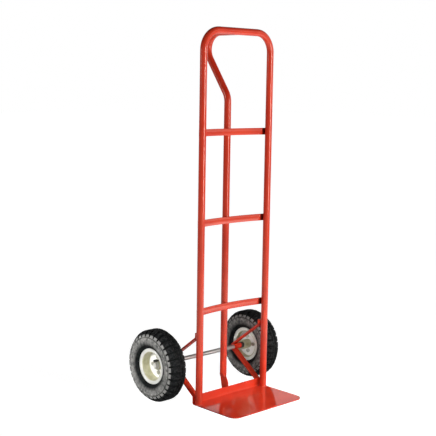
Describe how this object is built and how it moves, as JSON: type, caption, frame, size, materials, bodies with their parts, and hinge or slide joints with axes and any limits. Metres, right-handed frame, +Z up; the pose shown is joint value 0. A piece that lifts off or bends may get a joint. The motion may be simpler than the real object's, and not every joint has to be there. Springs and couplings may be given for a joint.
{
  "type": "sack truck",
  "caption": "Upright steel sack truck: bent tube frame, bowed crossbars, looped back handle, folded toe plate and knobbly pneumatic wheels on bolted rims.",
  "frame": {"origin": "on the floor under the toe plate, midway between the axes of the two uprights", "axes": "+X across the truck to the right seen from the front, +Y back towards the wheels, +Z up"},
  "size_m": [0.562, 0.47, 1.338],
  "materials": {
    "red_paint": "gloss",
    "zinc_plate": "satin",
    "rim_plate": "satin",
    "tyre_rubber": "matte",
    "soft_rubber": "matte",
    "black_plastic": "matte"
  },
  "bodies": {
    "frame": {"main_frame_tube": "red_paint", "p_handle_tube": "red_paint", "lower_crossbar": "red_paint", "middle_crossbar": "red_paint", "upper_crossbar": "red_paint", "toe_plate": "red_paint", "left_axle_bracket": "red_paint", "right_axle_bracket": "red_paint", "axle_sleeves": "red_paint", "axle": "zinc_plate", "outer_washers": "zinc_plate", "cotter_pins": "zinc_plate"},
    "left_wheel": {"left_tyre": "tyre_rubber", "left_inner_tube": "soft_rubber", "left_outer_rim": "rim_plate", "left_inner_rim": "rim_plate", "left_rim_bolts": "zinc_plate", "left_valve_stem": "soft_rubber", "left_valve_cap": "black_plastic", "left_hub_bush": "black_plastic"},
    "right_wheel": {"right_tyre": "tyre_rubber", "right_inner_tube": "soft_rubber", "right_outer_rim": "rim_plate", "right_inner_rim": "rim_plate", "right_rim_bolts": "zinc_plate", "right_valve_stem": "soft_rubber", "right_valve_cap": "black_plastic", "right_hub_bush": "black_plastic"}
  },
  "joints": [
    {"name": "left_wheel_spin", "type": "hinge", "parent": "frame", "child": "left_wheel", "pos_m": [-0.24, 0.144, 0.131], "axis": [1, 0, 0], "continuous": true},
    {"name": "right_wheel_spin", "type": "hinge", "parent": "frame", "child": "right_wheel", "pos_m": [0.24, 0.144, 0.131], "axis": [1, 0, 0], "continuous": true}
  ]
}
